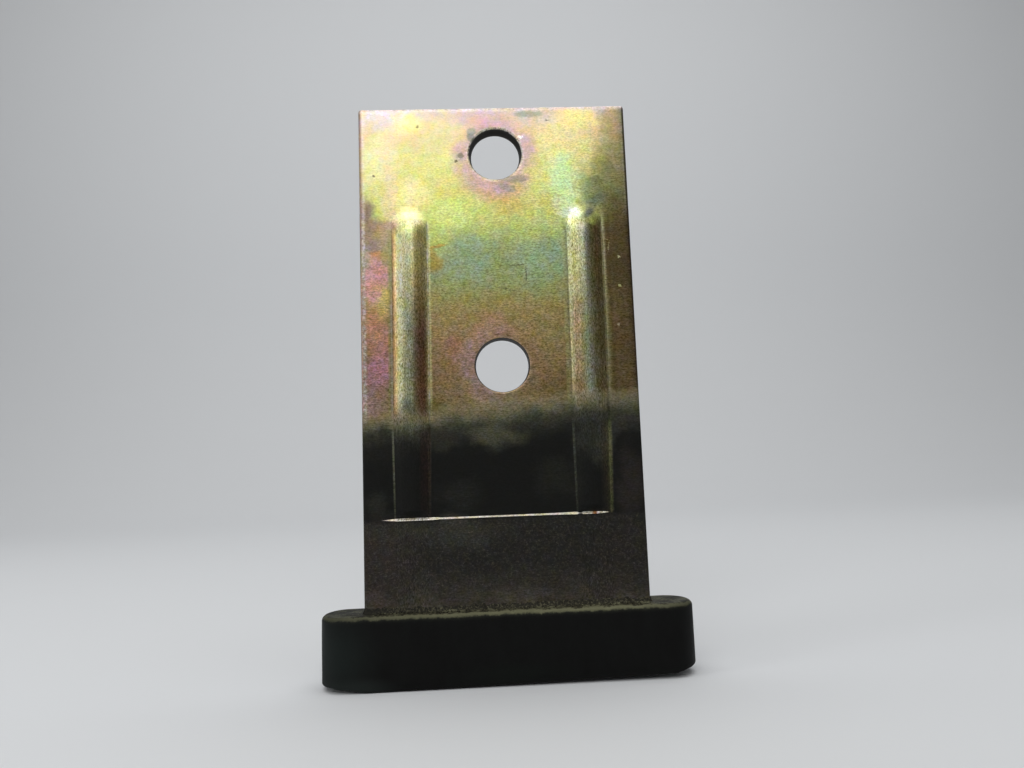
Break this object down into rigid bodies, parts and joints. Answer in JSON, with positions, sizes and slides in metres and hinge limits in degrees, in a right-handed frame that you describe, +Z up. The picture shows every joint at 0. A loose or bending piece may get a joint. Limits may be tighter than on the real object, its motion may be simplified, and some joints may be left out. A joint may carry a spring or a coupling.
{
  "type": "elevator door slider",
  "caption": "Lift door guide slider: a ribbed steel mounting plate with bolt holes, moulded at its foot into a long rubber sliding shoe.",
  "frame": {"origin": "midway between the two bolt holes, on the plate's flat back face", "axes": "+Z up along the plate, away from the shoe; +X along the sill groove, to the right seen from the front; -Y is the ribbed front and +Y the mounting face"},
  "size_m": [0.066, 0.0091, 0.106],
  "materials": {
    "plated_steel": "zinc plated and yellow passivated, semi-gloss, stained darker towards the shoe",
    "shoe_rubber": "moulded black rubber, matt with a faint sheen on its rounded edges"
  },
  "bodies": {
    "root": {"mounting_plate": "plated_steel", "slider_shoe": "shoe_rubber"}
  },
  "joints": []
}
